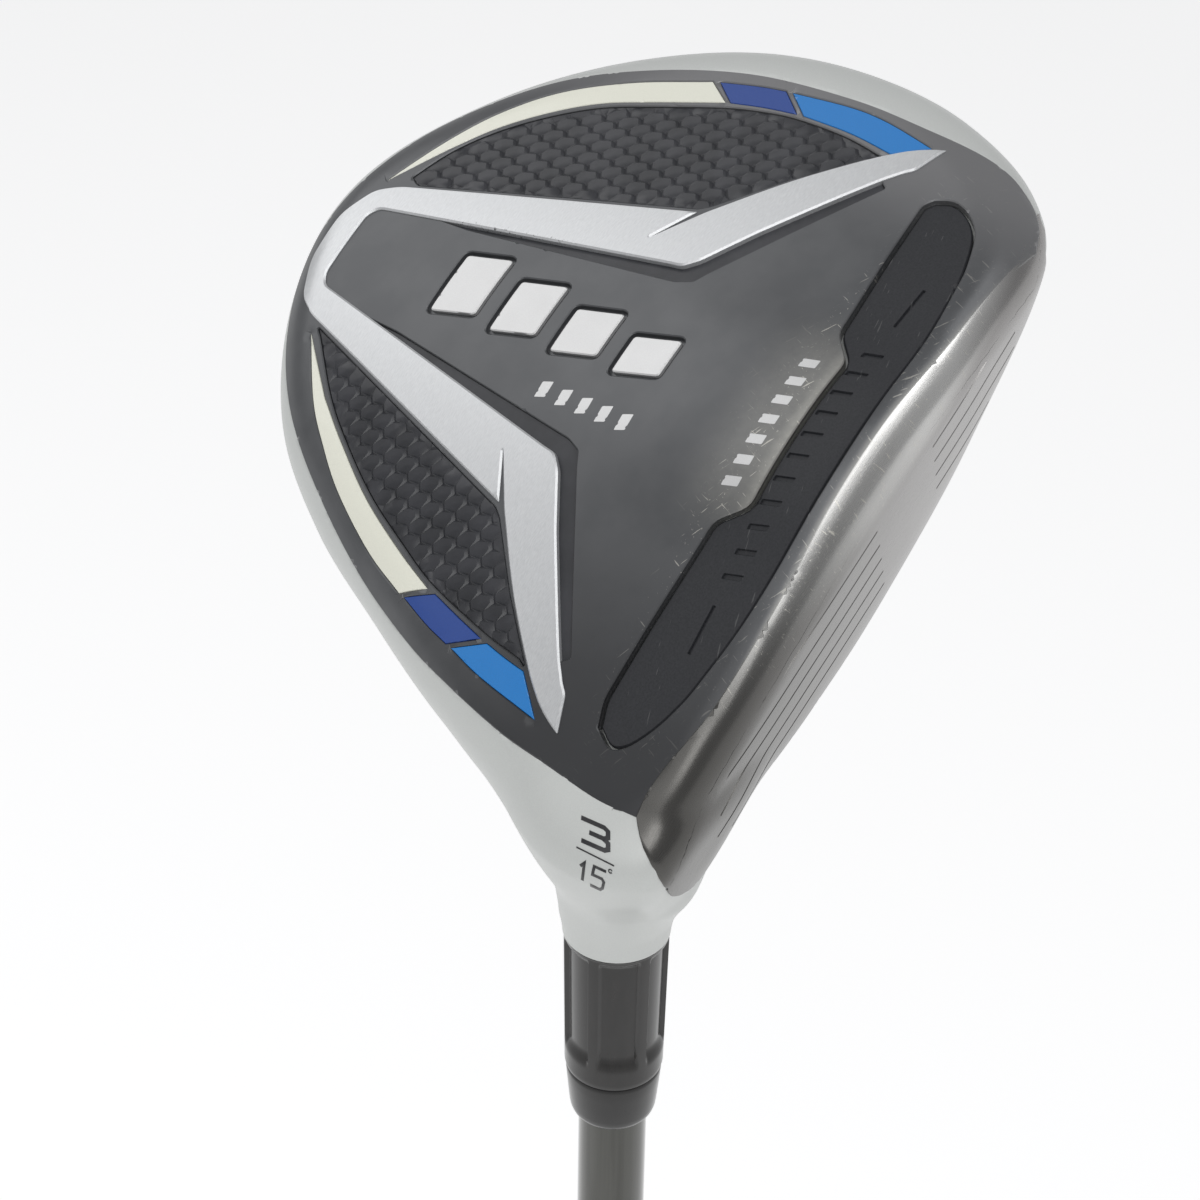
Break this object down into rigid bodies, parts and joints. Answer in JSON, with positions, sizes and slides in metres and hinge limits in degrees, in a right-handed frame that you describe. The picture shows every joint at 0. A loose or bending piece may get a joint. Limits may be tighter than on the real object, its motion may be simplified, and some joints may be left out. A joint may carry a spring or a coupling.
{
  "type": "golf fairway wood",
  "caption": "Fairway wood with a hollow steel head, inlaid sole trim, slotted sole, carbon crown panel, bonded tapered shaft, ferrule and rubber grip.",
  "frame": {"origin": "centre of the vent hole in the butt face of the grip, on the shaft's axis", "axes": "+Z runs along the shaft's axis from the butt towards the head; +X is the side the toe is on; -Y is the side the face looks to"},
  "size_m": [0.0995, 0.096, 1.1334],
  "materials": {
    "body_steel": "pearl white-silver paint over cast steel",
    "face_steel": "dark satin steel with fine scoring",
    "sole_grey": "satin dark grey paint, worn at the keel",
    "insert_polymer": "dark rubbery polymer",
    "trim_silver": "satin silver",
    "texture_black": "black embossed film",
    "stripe_cream": "cream paint",
    "stripe_navy": "navy blue paint",
    "stripe_azure": "azure blue paint",
    "emblem_silver": "silver paint",
    "crown_carbon": "clear-coated carbon composite",
    "epoxy": "cured adhesive",
    "weight_steel": "plain steel",
    "shaft_graphite": "gun-metal gloss paint over carbon composite",
    "plug_plastic": "plain moulded plastic",
    "ferrule_plastic": "dark moulded plastic",
    "ring_plastic": "dark grey moulded plastic",
    "tape_paper": "double-sided tape",
    "grip_rubber": "black cord-free rubber",
    "grip_paint": "pale grey paint fill"
  },
  "bodies": {
    "root": {"head_body": "body_steel", "face_cup": "face_steel", "sole_plate": "sole_grey", "slot_insert": "insert_polymer", "vee_trim": "trim_silver", "toe_texture_panel": "texture_black", "heel_texture_panel": "texture_black", "cream_stripes": "stripe_cream", "navy_stripes": "stripe_navy", "azure_stripes": "stripe_azure", "sole_emblem": "emblem_silver", "sole_marks": "emblem_silver", "keel_marks": "emblem_silver", "crown_panel": "crown_carbon", "crown_bond": "epoxy", "weight_pad": "weight_steel", "shaft": "shaft_graphite", "shaft_epoxy": "epoxy", "tip_plug": "plug_plastic", "ferrule_collar": "ferrule_plastic", "ferrule_ring": "ring_plastic", "grip_tape": "tape_paper", "grip_sleeve": "grip_rubber", "grip_end_cap": "grip_rubber", "grip_mark": "grip_paint"}
  },
  "joints": []
}
